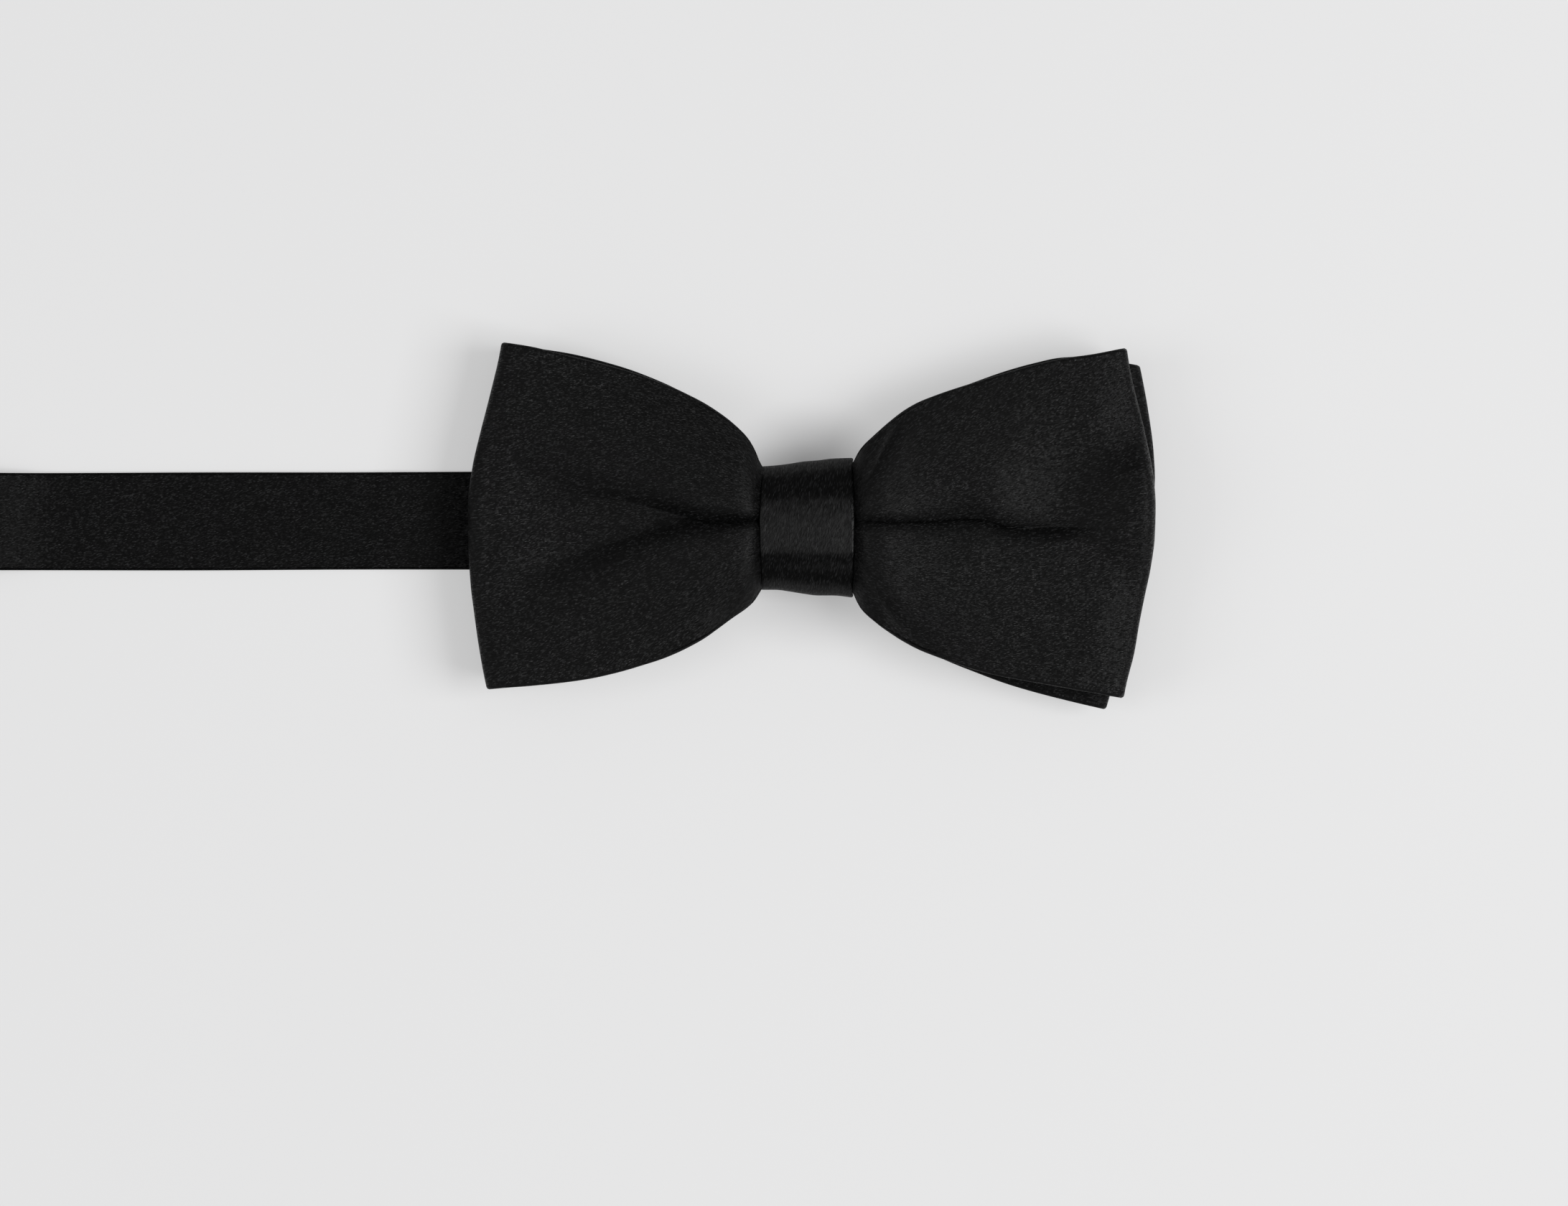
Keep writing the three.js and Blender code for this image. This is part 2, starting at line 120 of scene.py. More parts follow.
def satin_material(name, twill, float_len=0.34, pitch=0.16, base=0.0026, rough=0.48, spec=0.135, sheen=0.002,
                   sheen_rough=0.45, tilt=0.34, round_yarn=0.25, bump=0.15, aniso=0.3, aniso_rot=0.25,
                   contrast=2.3, wander=0.16, uneven=0.25, own_rough=0.20, crown=None, map_name="cloth"):
    """Satin weave laid out in the cloth's own plane, in millimetres: floats run along U, each row shifted
    so that their ends line up in the twill direction, given in degrees from U. Every float has its own
    tone, its own small tilt and a rounded section, which is what makes satin glitter and change with angle."""
    mat, nt, bsdf = nodes_of(name)
    N, L = nt.nodes, nt.links

    def math_node(op, a, b=None, c=None, clamp=False):
        n = N.new("ShaderNodeMath")
        n.operation = op
        n.use_clamp = clamp
        for i, v in enumerate((a, b, c)):
            if v is None:
                continue
            if isinstance(v, (int, float)):
                n.inputs[i].default_value = v
            else:
                L.new(v, n.inputs[i])
        return n.outputs[0]

    def noise(vector, scale, detail=2.0, roughness=0.5):
        n = N.new("ShaderNodeTexNoise")
        n.inputs["Scale"].default_value = scale
        n.inputs["Detail"].default_value = detail
        n.inputs["Roughness"].default_value = roughness
        L.new(vector, n.inputs["Vector"])
        return n.outputs

    uv = N.new("ShaderNodeUVMap")
    uv.uv_map = map_name
    sep = N.new("ShaderNodeSeparateXYZ")
    L.new(uv.outputs["UV"], sep.inputs["Vector"])
    # uneven yarns: rows wander a little and floats differ in length
    drift = noise(uv.outputs["UV"], 0.8)
    jitter = N.new("ShaderNodeSeparateColor")
    L.new(noise(uv.outputs["UV"], 2.6, 1.0)["Color"], jitter.inputs["Color"])
    v = math_node("ADD", math_node("MULTIPLY_ADD", drift["Fac"], wander, sep.outputs["Y"]),
                  math_node("MULTIPLY", jitter.outputs["Red"], wander * 0.53))
    u = math_node("MULTIPLY_ADD", jitter.outputs["Green"], wander, sep.outputs["X"])
    shift = -1.0 / math.tan(math.radians(twill))
    u = math_node("MULTIPLY_ADD", v, shift, u)
    cu, cv = math_node("DIVIDE", u, float_len), math_node("DIVIDE", v, pitch)
    fu, fv = math_node("FRACT", cu), math_node("FRACT", cv)
    cell = N.new("ShaderNodeCombineXYZ")
    L.new(math_node("FLOOR", cu), cell.inputs["X"])
    L.new(math_node("FLOOR", cv), cell.inputs["Y"])
    own = N.new("ShaderNodeTexWhiteNoise")
    own.noise_dimensions = "2D"
    L.new(cell.outputs["Vector"], own.inputs["Vector"])
    rnd = N.new("ShaderNodeSeparateColor")
    L.new(own.outputs["Color"], rnd.inputs["Color"])

    across = math_node("SINE", math_node("MULTIPLY", fv, math.pi))
    tip = math_node("MULTIPLY", math_node("MINIMUM", fu, math_node("SUBTRACT", 1.0, fu)), 5.0, clamp=True)
    body = math_node("MULTIPLY", across, tip)

    # tone of each float: most are dark, a few are bright
    bright = math_node("POWER", rnd.outputs["Red"], 6.0)
    tone = math_node("MULTIPLY_ADD", body, 1.1, 0.30)
    tone = math_node("MULTIPLY", tone, math_node("MULTIPLY_ADD", bright, 3.2 * contrast, 0.28))
    broad = noise(uv.outputs["UV"], 0.07)["Fac"]
    mid = noise(uv.outputs["UV"], 0.9, 3.0, 0.6)["Fac"]
    tone = math_node("MULTIPLY", tone, math_node("MULTIPLY_ADD", broad, 0.5, 0.75))
    tone = math_node("MULTIPLY", tone, math_node("MULTIPLY_ADD", mid, uneven, 1.0 - uneven / 2))
    shade = N.new("ShaderNodeMix")
    shade.data_type = "RGBA"
    shade.clamp_factor = False
    shade.inputs["A"].default_value = (0, 0, 0, 1)
    shade.inputs["B"].default_value = (base * 0.98, base, base * 1.03, 1)
    L.new(tone, shade.inputs["Factor"])
    L.new(shade.outputs["Result"], bsdf.inputs["Base Color"])

    # floats are smoother than the dips between them
    r = math_node("MULTIPLY_ADD", body, -0.20, rough + 0.12)
    r = math_node("MULTIPLY_ADD", rnd.outputs["Blue"], own_rough, math_node("SUBTRACT", r, own_rough / 2))
    away = None
    if crown is not None:
        # a ring of cloth: its distance from the crown, where U is 0; satin that turns out of sight is duller
        near, far, least, round_mm = crown
        away = math_node("SUBTRACT", round_mm / 2,
                         math_node("ABSOLUTE", math_node("SUBTRACT", sep.outputs["X"], round_mm / 2)))
        dull = N.new("ShaderNodeMapRange")
        dull.interpolation_type = "SMOOTHSTEP"
        for key, val in (("From Min", 8.5), ("From Max", 12.5), ("To Min", 0.0), ("To Max", 0.45)):
            dull.inputs[key].default_value = val
        L.new(away, dull.inputs["Value"])
        r = math_node("ADD", r, dull.outputs["Result"])
    L.new(math_node("MAXIMUM", r, 0.12), bsdf.inputs["Roughness"])

    # each float's own tilt, plus its rounded section and its dipping ends
    signed = math_node("MULTIPLY_ADD", rnd.outputs["Green"], 2.0, -1.0)
    own_tilt = math_node("MULTIPLY", math_node("MULTIPLY", signed, math_node("ABSOLUTE", signed)), tilt)
    if away is not None:
        # floats stand more unevenly over the crown than further round
        calm = N.new("ShaderNodeMapRange")
        calm.interpolation_type = "SMOOTHSTEP"
        for key, val in (("From Min", near), ("From Max", far), ("To Min", 1.0), ("To Max", least)):
            calm.inputs[key].default_value = val
        L.new(away, calm.inputs["Value"])
        own_tilt = math_node("MULTIPLY", own_tilt, calm.outputs["Result"])
    tu = math_node("MULTIPLY_ADD", math_node("SUBTRACT", fu, 0.5), 0.22, own_tilt)
    tv = math_node("MULTIPLY_ADD", math_node("SUBTRACT", fv, 0.5), round_yarn * 2,
                   math_node("MULTIPLY_ADD", rnd.outputs["Blue"], 0.12, -0.06))
    direction = N.new("ShaderNodeCombineColor")
    L.new(math_node("MULTIPLY_ADD", tu, 0.5, 0.5), direction.inputs["Red"])
    L.new(math_node("MULTIPLY_ADD", tv, 0.5, 0.5), direction.inputs["Green"])
    direction.inputs["Blue"].default_value = 1.0
    leaning = N.new("ShaderNodeNormalMap")
    leaning.space = "TANGENT"
    leaning.uv_map = map_name
    leaning.inputs["Strength"].default_value = 1.0
    L.new(direction.outputs["Color"], leaning.inputs["Color"])
    b = N.new("ShaderNodeBump")
    b.inputs["Strength"].default_value = bump
    b.inputs["Distance"].default_value = 0.00006
    L.new(mid, b.inputs["Height"])
    L.new(leaning.outputs["Normal"], b.inputs["Normal"])
    L.new(b.outputs["Normal"], bsdf.inputs["Normal"])
    bsdf.inputs["Specular IOR Level"].default_value = spec
    bsdf.inputs["Sheen Weight"].default_value = sheen
    bsdf.inputs["Sheen Roughness"].default_value = sheen_rough
    bsdf.inputs["Sheen Tint"].default_value = (0.9, 0.9, 0.92, 1)
    if aniso:
        bsdf.inputs["Anisotropic"].default_value = aniso
        bsdf.inputs["Anisotropic Rotation"].default_value = aniso_rot
        tangent = N.new("ShaderNodeTangent")
        tangent.direction_type = "UV_MAP"
        tangent.uv_map = map_name
        L.new(tangent.outputs["Tangent"], bsdf.inputs["Tangent"])
    return mat


def plain_material(name, colour, rough, metal=0.0, scale=400, vary=0.15, bump=0.1, spec=0.5, distance=0.00005, stretch=(1, 1, 1)):
    """A finish in object space: tone and roughness wander a little, with fine relief."""
    mat, nt, bsdf = nodes_of(name)
    N, L = nt.nodes, nt.links
    tc = N.new("ShaderNodeTexCoord")
    mp = N.new("ShaderNodeMapping")
    mp.inputs["Scale"].default_value = stretch
    L.new(tc.outputs["Object"], mp.inputs["Vector"])
    n1 = N.new("ShaderNodeTexNoise")
    n1.inputs["Scale"].default_value = scale
    n1.inputs["Detail"].default_value = 4
    L.new(mp.outputs["Vector"], n1.inputs["Vector"])
    ramp = N.new("ShaderNodeMix")
    ramp.data_type = "RGBA"
    ramp.inputs["A"].default_value = (*[c * (1 - vary) for c in colour], 1)
    ramp.inputs["B"].default_value = (*[min(1, c * (1 + vary)) for c in colour], 1)
    L.new(n1.outputs["Fac"], ramp.inputs["Factor"])
    L.new(ramp.outputs["Result"], bsdf.inputs["Base Color"])
    mr = N.new("ShaderNodeMapRange")
    mr.inputs["To Min"].default_value = max(0.03, rough - 0.08)
    mr.inputs["To Max"].default_value = rough + 0.10
    L.new(n1.outputs["Fac"], mr.inputs["Value"])
    L.new(mr.outputs["Result"], bsdf.inputs["Roughness"])
    b = N.new("ShaderNodeBump")
    b.inputs["Strength"].default_value = bump
    b.inputs["Distance"].default_value = distance
    L.new(n1.outputs["Fac"], b.inputs["Height"])
    L.new(b.outputs["Normal"], bsdf.inputs["Normal"])
    bsdf.inputs["Metallic"].default_value = metal
    bsdf.inputs["Specular IOR Level"].default_value = spec
    return mat


RING_MM = 61.7                     # once round the knot wrap, along its middle surface
SATIN_WING = satin_material("satin_wing", twill=28)
SATIN_BACK = satin_material("satin_back", twill=30, rough=0.54, spec=0.11)
SATIN_KNOT = satin_material("satin_knot", twill=-20, float_len=0.42, pitch=0.19, base=0.0016, rough=0.275, spec=0.178, bump=0.05,
                            tilt=0.17, round_yarn=0.06, aniso=0.8, contrast=3.0, wander=0.10, uneven=0.2, own_rough=0.16,
                            crown=(2.8, 5.6, 0.70, RING_MM))
SATIN_BAND = satin_material("satin_band", twill=-32, rough=0.52, spec=0.10, base=0.0028)
LINING = plain_material("interlining", (0.016, 0.016, 0.018), 0.92, scale=900, vary=0.5, bump=0.6)
THREAD = plain_material("sewing_thread", (0.010, 0.010, 0.011), 0.55, scale=2500, vary=0.4, bump=0.5)
NICKEL = plain_material("nickel_plate", (0.60, 0.59, 0.57), 0.24, metal=1.0, scale=260, vary=0.06, bump=0.12,
                        stretch=(1, 7, 1))


# ------------------------------------------------------------------ mesh building
def add_mesh(name, verts, faces, uvs, mat, smooth_shade=True):
    me = bpy.data.meshes.new(name)
    me.from_pydata([tuple(v) for v in np.asarray(verts) * MM], [], faces)
    layer = me.uv_layers.new(name="cloth")
    flat = np.asarray([c for f in uvs for c in f], float).reshape(-1)
    layer.data.foreach_set("uv", flat)
    me.materials.append(mat)
    if smooth_shade:
        me.polygons.foreach_set("use_smooth", [True] * len(me.polygons))
    me.update()
    me.validate()
    ob = bpy.data.objects.new(name, me)
    bpy.context.collection.objects.link(ob)
    return ob


def tube_mesh(name, P, U, V, mat, loop_s=False):
    """P[s][k] are points round closed rings k, stepped along s; U and V are the cloth's own coordinates in
    millimetres (V has one more column than P, to close the seam). Ends are capped unless looped."""
    n, m = P.shape[:2]
    verts = P.reshape(-1, 3)
    faces, uvs = [], []
    steps = n if loop_s else n - 1
    for i in range(steps):
        a, b = i, (i + 1) % n
        ub = U[i + 1]
        for k in range(m):
            k2 = (k + 1) % m
            faces.append((a * m + k, b * m + k, b * m + k2, a * m + k2))
            uvs.append(((U[i][k], V[i][k]), (ub[k], V[b][k]), (ub[k + 1], V[b][k + 1]), (U[i][k + 1], V[i][k + 1])))
    caps = 0
    if not loop_s:
        # close the two ends with quads across the thin section
        near = [m - 2, m - 1] + list(range(0, m // 2 - 2))
        far = [m - 3 - j for j in range(m // 2)]
        for i, flip in ((0, False), (n - 1, True)):
            for j in range(m // 2 - 1):
                q = [near[j], near[j + 1], far[j + 1], far[j]]
                if flip:
                    q = q[::-1]
                faces.append(tuple(i * m + x for x in q))
                uvs.append(tuple((U[i][x], V[i][x]) for x in q))
                caps += 1
    ob = add_mesh(name, verts, faces, uvs, mat)
    if caps:
        last = (n - 1) * m
        for e in ob.data.edges:
            p, q = e.vertices
            if (p < m and q < m) or (p >= last and q >= last):
                e.use_edge_sharp = True
    return ob


def lip(half_t, n=4):
    """Half-round edge of a cloth panel: offsets (inward along the panel, out of it), top to bottom."""
    return [(half_t * (1 - math.cos(a)), half_t * math.sin(a))
            for a in [math.pi / 2 * (1 - 2 * (i + 1) / (n + 1)) for i in range(n)]]


# ------------------------------------------------------------------ the two bows
HALF_T = 0.58                      # half a bow panel: satin, interlining, satin

FRONT_LEFT = [
    [0, 8.2, -8.2], [5.6, 8.3, -8.3], [6.8, 9.0, -9.0], [8.0, 10.4, -10.3], [8.8, 11.8, -11.6], [9.6, 13.9, -12.9], [10.6, 15.7, -13.9],
    [13.1, 18.3, -15.8], [15.6, 20.2, -17.7], [18.1, 21.8, -19.5], [20.6, 23.1, -20.9], [23.1, 24.3, -22.1],
    [25.6, 25.3, -23.1], [28.1, 26.3, -23.9], [33.2, 27.9, -25.4], [38.2, 29.2, -26.5], [43.2, 30.4, -27.2],
    [48.2, 31.6, -27.7], [53.3, 32.4, -28.1], [59.5, 33.4, -28.7],
]
FRONT_RIGHT = [
    [0, 8.2, -8.2], [5.6, 8.3, -8.3], [6.8, 9.0, -9.0], [8.0, 10.6, -10.6], [8.8, 12.0, -12.2], [9.6, 13.6, -14.0], [12.1, 16.3, -16.6],
    [14.6, 18.6, -18.5], [17.1, 20.5, -20.1], [19.6, 21.9, -21.4], [22.1, 22.9, -22.4], [24.6, 23.8, -23.3],
    [29.6, 25.4, -25.0], [34.7, 27.0, -26.2], [39.7, 28.4, -27.1], [44.7, 29.5, -28.0], [49.7, 30.2, -28.9],
    [54.8, 31.2, -29.8], [61.0, 32.4, -30.8],
]
BACK_LEFT = [
    [0, 8.2, -8.2], [5.6, 8.3, -8.3], [6.8, 9.0, -9.0], [8.8, 11.0, -10.6], [10.6, 14.9, -12.9], [13.1, 17.6, -15.0], [15.6, 19.8, -16.8],
    [20.6, 23.1, -19.9], [25.6, 25.6, -22.2], [33.2, 28.4, -24.6], [43.2, 30.8, -26.5], [53.3, 32.0, -27.3], [59.5, 32.4, -27.8],
]
BACK_RIGHT = [
    [0, 8.2, -8.2], [5.6, 8.3, -8.3], [6.8, 9.0, -9.0], [8.8, 11.0, -11.2], [10.6, 14.2, -14.4], [14.6, 18.2, -17.9], [19.6, 21.5, -21.0],
    [24.6, 23.7, -23.4], [29.6, 25.6, -25.4], [34.7, 27.4, -27.3], [39.7, 28.8, -28.8], [44.7, 29.8, -30.1],
    [49.7, 30.0, -31.3], [52.4, 29.5, -31.9], [60.0, 28.0, -33.4],
]
END_FL = [[-1, 55.9], [-0.86, 56.7], [-0.69, 57.5], [-0.51, 58.2], [-0.33, 58.8], [0.0, 59.2], [0.12, 59.2], [0.33, 58.4], [0.48, 57.3], [0.71, 55.4], [0.95, 53.6], [1, 53.35]]
END_FR = [[-1, 55.3], [-0.9, 55.9], [-0.73, 57.2], [-0.57, 58.0], [-0.4, 59.0], [-0.23, 60.05], [-0.06, 60.7], [0.12, 60.85], [0.25, 60.6], [0.53, 59.0], [0.87, 56.5], [1, 55.85]]
END_BL = [[-1, 54.9], [-0.7, 56.6], [-0.33, 57.9], [0.0, 58.3], [0.12, 58.3], [0.48, 56.4], [1, 52.4]]
END_BR = [[-1, 52.4], [-0.73, 54.8], [-0.4, 57.4], [-0.06, 59.6], [0.15, 60.6], [0.3, 61.0], [0.45, 60.8], [0.7, 59.9], [0.95, 58.6], [1, 58.3]]


def outline(table):
    t = np.array(table)
    return pchip(t[:, 0], t[:, 1]), pchip(t[:, 0], t[:, 2])


def along(points):
    p = np.array(points, float)
    return pchip(p[:, 0], p[:, 1])


def groove(x, y, path, depth, width, skew=0.0, power=1.25):
    """A valley along path [(x, y)...]: depth and width are tables over x. skew widens its upper side."""
    yc, d, w = along(path)(x), along(depth)(x), along(width)(x)
    s = y - yc
    k = np.where(s > 0, w * (1 + skew), w)
    return -d * np.exp(-np.power(np.abs(s) / k, power))


def front_left_top(x, v, y):
    base = along([[0, 10.0], [4.5, 10.2], [6.5, 11.4], [8.2, 12.4], [8.8, 13.5], [9.5, 14.4], [10.3, 14.85], [12, 15.1], [15, 15.0], [20, 14.6],
                  [28, 13.95], [38, 13.35], [48, 12.75], [54, 12.45], [59, 12.25]])(x)
    drop = along([[0, 0.0], [4.5, 0.1], [6.5, 1.2], [8.2, 3.0], [11, 2.8], [16, 2.6], [24, 2.2], [36, 1.5], [50, 0.6], [58, 0.2]])(x)
    z = base - drop * np.power(np.abs(v), 2.4)
    fade = smooth(5.0, 8.6, x)
    # the crease from the knot, rising outward as it opens
    z = z + fade * groove(x, y, [[0, 1.2], [9, 1.2], [14, 1.1], [17, 1.0], [20, 1.5], [23, 2.4], [26, 3.2], [30, 4.2], [38, 5.2], [45, 6.7], [50, 8.4], [60, 11]],
                          [[0, 1.0], [9, 1.9], [14, 2.2], [19, 1.85], [23, 1.75], [27, 1.95], [32, 2.0], [38, 2.1], [45, 1.9], [50, 1.3], [56, 0.3], [60, 0.0]],
                          [[0, 1.0], [9, 0.8], [14, 1.2], [19, 1.7], [23, 2.3], [28, 3.0], [36, 4.0], [50, 5.0], [60, 5.2]], power=1.35)
    # its lower branch
    z = z + groove(x, y, [[0, 0.4], [20, 0.4], [26, -0.5], [31, -1.9], [37.5, -3.6], [43, -5.2], [48, -7.5], [54, -11.0], [60, -15]],
                   [[0, 0], [17, 0], [23, 0.5], [30, 1.2], [37, 1.6], [43, 1.5], [48, 1.0], [52, 0.45], [57, 0.0], [60, 0]],
                   [[0, 2], [20, 2.0], [28, 2.8], [36, 3.9], [46, 5.2], [60, 5.6]], power=1.5)
    # between its branches the cloth sinks away from the knot and rises again
    z = z + groove(x, y, [[0, 1.1], [20, 1.2], [30, 1.0], [45, 0.4], [60, 0]],
                   [[0, 0], [14, 0], [20, 0.6], [26, 0.9], [30, 0.95], [34, 0.9], [42, 0.75], [50, 0.5], [57, 0.2], [60, 0]],
                   [[0, 1.5], [14, 1.6], [20, 2.2], [30, 3.0], [45, 4.0], [60, 5]], power=2.0)
    # the lower edge dives towards the knot
    z = z - 2.7 * np.exp(-(((x - 8.8) / 5.8) ** 2 + ((y + 16.2) / 4.8) ** 2))
    # the outer end lifts between the two branches
    z = z + 0.35 * np.exp(-(((x - 57.5) / 4.6) ** 2 + (y / 5.5) ** 2))
    # soft trough just inside the rolled outer end
    z = z - 0.15 * np.exp(-(((x - 55.2) / 1.5) ** 2)) * smooth(1.05, 0.2, np.abs(v))
    z = z + 0.12 * waves(x, y, 5, 26) * smooth(10, 18, x)
    return z


def front_right_top(x, v, y):
    base = along([[0, 10.0], [4.5, 10.2], [6.5, 11.4], [8.2, 12.4], [9.0, 13.7], [9.9, 14.9], [11.2, 15.6], [13, 15.9], [16, 15.55], [19, 15.1], [24, 14.75],
                  [32, 14.5], [40, 14.2], [48, 13.9], [55, 13.5], [60, 13.1]])(x)
    drop = along([[0, 0.0], [4.5, 0.1], [6.5, 1.2], [8.2, 3.0], [11, 2.8], [16, 2.2], [24, 1.6], [36, 0.9], [50, 0.4], [58, 0.15]])(x)
    z = base - drop * np.power(np.abs(v), 2.6)
    fade = smooth(5.0, 8.6, x)
    path = [[0, 1.0], [9, 1.0], [16, 0.9], [22, 1.0], [26, 1.3], [29, 1.3], [31, 0.9], [34, 0.1], [37, -0.2], [42, -0.1], [50, 0.1], [56, 0.3], [61, 0.3]]
    depth = [[0, 1.0], [9, 1.6], [14, 1.8], [20, 1.9], [27, 2.1], [33, 1.7], [38, 1.3], [45, 0.9], [52, 0.4], [57, 0.1], [61, 0.0]]
    yc, d = along(path)(x), along(depth)(x)
    s = y - yc
    up = along([[0, 0.9], [12, 0.9], [18, 1.1], [23, 2.0], [27, 2.6], [30, 2.2], [34, 1.2], [40, 1.2], [45, 1.8], [51, 2.6], [61, 3]])(x)
    down = along([[0, 0.8], [12, 0.8], [20, 1.2], [30, 1.6], [45, 1.7], [61, 1.8]])(x)
    z = z - fade * 0.9 * d * np.exp(-np.power(np.abs(s) / np.where(s > 0, up, down), 1.0))
    z = z - 0.25 * smooth(14, 24, x) * np.exp(-(((y + 0.5) / 4.5) ** 2))
    # broad swelling above the crease, sloping down into a hollow that rises again to the outer end
    z = z + 0.35 * np.exp(-(((x - 29.0 + 0.3 * (y - 7.0)) / 8.5) ** 2 + ((y - 8.0) / 7.5) ** 2))
    low = 44.0 + 0.25 * (y - 4.0)
    dip = np.where(x < low, smooth(low - 13.0, low, x), 1 - 2.7 * smooth(low, low + 14.5, x))
    z = z - 1.25 * dip * smooth(20, 8, y) * smooth(-2.8 - 6.0 * smooth(46, 57, x), 0.9, y)
    # short pleats at the knot's corners
    z = z + groove(x, y, [[0, 4], [9, 6.5], [11.3, 9.0], [13.7, 14.0], [17.5, 19.0], [60, 40]],
                   [[0, 0], [8.4, 0.1], [10.5, 0.75], [14, 0.65], [18, 0.0], [60, 0]], [[0, 1], [10, 1.2], [16, 1.8], [60, 2]])
    z = z + groove(x, y, [[0, -2], [9, -4.9], [10.2, -7.0], [12.8, -12.0], [15.8, -16.2], [21, -20.0], [60, -40]],
                   [[0, 0], [8.4, 0.1], [10.2, 0.55], [14, 0.55], [18, 0.4], [24, 0.0], [60, 0]], [[0, 1], [10, 1.3], [16, 1.9], [24, 2.4], [60, 2]])
    # the outer end rolls over sooner towards its two corners
    z = z - 0.7 * smooth(50, 59, x) * smooth(8, 15, np.abs(y))
    z = z - 0.12 * np.exp(-(((x - 56.5) / 1.8) ** 2)) * smooth(1.05, 0.2, np.abs(v))
    z = z + 0.12 * waves(x, y, 9, 28) * smooth(10, 18, x)
    return z


def plain_panel(levels, seed, sag=0.0, puff=0.0):
    lev = along(levels)

    def f(x, v, y):
        z = lev(x) + puff * smooth(9, 22, x) * smooth(60, 40, x) * (1 - np.abs(v) ** 2.5)
        z = z - sag * smooth(9, 16, x) * smooth(50, 26, x) * np.exp(-np.abs(y) / 2.5)
        return z + 0.12 * waves(x, y, seed, 30) * smooth(9, 20, x)
    return f


FRONT_BOTTOM = plain_panel([[0, 8.2], [7, 8.2], [12, 8.9], [20, 9.5], [60, 10.0]], 3)
BACK_TOP = plain_panel([[0, 6.3], [7, 6.3], [12, 6.9], [20, 7.4], [60, 7.9]], 7, puff=0.25, sag=0.3)
BACK_BOTTOM = plain_panel([[0, 4.4], [7, 4.4], [12, 4.6], [20, 4.8], [60, 5.0]], 13, puff=0.0, sag=-0.2)

V = np.concatenate([np.linspace(-1, -0.9, 5)[:-1], np.linspace(-0.9, -0.16, 19)[:-1], np.linspace(-0.16, 0.22, 27)[:-1],
                    np.linspace(0.22, 0.9, 17)[:-1], np.linspace(0.9, 1, 5)])
TAU = np.concatenate([np.linspace(0, 0.11, 4)[:-1], np.linspace(0.11, 0.3, 22)[:-1], np.linspace(0.3, 0.92, 44)[:-1],
                      np.linspace(0.92, 1, 8)])
TURNS = 9


def bow_surface(side, tops, bottoms, edges, ends):
    """Middle surface of one side of a bow, knot to outer fold and back: (stations, across, 3)."""
    upper, lower = outline(edges)
    reach = along(ends)
    top, bottom = tops, bottoms
    vv = V[None, :]
    out = reach(V)[None, :]
    corner = np.where(vv >= 0, reach(np.array([1.0]))[0], reach(np.array([-1.0]))[0])

    def y_at(x):
        xs = x / out * corner
        hu, hl = upper(xs), lower(xs)
        return np.where(vv >= 0, vv * hu, -vv * hl)

    edge_x = out - 2.1
    rows = []
    for t in TAU:
        x = edge_x * t
        y = y_at(x)
        rows.append(np.stack([x, y, top(x, vv, y)], -1)[0])
    y1 = y_at(edge_x)
    zt, zb = top(edge_x, vv, y1), bottom(edge_x, vv, y1)
    for i in range(1, TURNS + 1):
        a = math.pi / 2 - math.pi * i / (TURNS + 1)
        x = edge_x + 1.52 * math.cos(a)
        z = (zt + zb) / 2 + (zt - zb) / 2 * math.sin(a)
        rows.append(np.stack([x, y_at(x), z], -1)[0])
    for t in TAU[::-1]:
        x = edge_x * t
        y = y_at(x)
        rows.append(np.stack([x, y, bottom(x, vv, y)], -1)[0])
    S = np.array(rows)
    S[..., 0] *= side
    return S


def panel_solid(S, half_t, closed, length_offset=0.0):
    """Gives a middle surface S (stations, across, 3) its thickness and rounded edges; returns rings, U, V."""
    n, m = S.shape[:2]
    ds = (np.roll(S, -1, 0) - np.roll(S, 1, 0)) if closed else np.gradient(S, axis=0)
    dv = np.gradient(S, axis=1)
    nrm = np.cross(ds, dv)
    nrm /= np.linalg.norm(nrm, axis=-1, keepdims=True) + 1e-12
    dv /= np.linalg.norm(dv, axis=-1, keepdims=True) + 1e-12
    step = np.linalg.norm(np.diff(S, axis=0), axis=-1).mean(1)
    u = np.concatenate([[0], np.cumsum(step)]) + length_offset
    if closed:
        u = np.append(u, u[-1] + np.linalg.norm(S[0] - S[-1], axis=-1).mean())
    w = np.concatenate([[0], np.cumsum(np.linalg.norm(np.diff(S, axis=1), axis=-1).mean(0))])
    w = w - w[m // 2]
    cols, vcol = [], []
    e = half_t
    for j in range(m):
        inset = e * (1 if j == 0 else -1 if j == m - 1 else 0)
        cols.append(S[:, j] + dv[:, j] * inset + nrm[:, j] * e)
        vcol.append(w[j] + inset)
    for k, (i_n, o) in enumerate(lip(e)):
        cols.append(S[:, -1] - dv[:, -1] * i_n + nrm[:, -1] * o)
        vcol.append(w[-1] - i_n + (k + 1) * 0.1)
    for j in range(m - 1, -1, -1):
        inset = e * (1 if j == 0 else -1 if j == m - 1 else 0)
        cols.append(S[:, j] + dv[:, j] * inset - nrm[:, j] * e)
        vcol.append(w[j] + inset + 80)
    for k, (i_n, o) in enumerate(reversed(lip(e))):
        cols.append(S[:, 0] + dv[:, 0] * i_n + nrm[:, 0] * o)
        vcol.append(w[0] + i_n + 80 - (k + 1) * 0.1)
    P = np.stack(cols, 1)
    vcol = np.array(vcol + [vcol[0] + 160])
    U = np.repeat(u[:, None], P.shape[1] + 1, 1)
    VV = np.repeat(vcol[None, :], n, 0)
    return P, U, VV


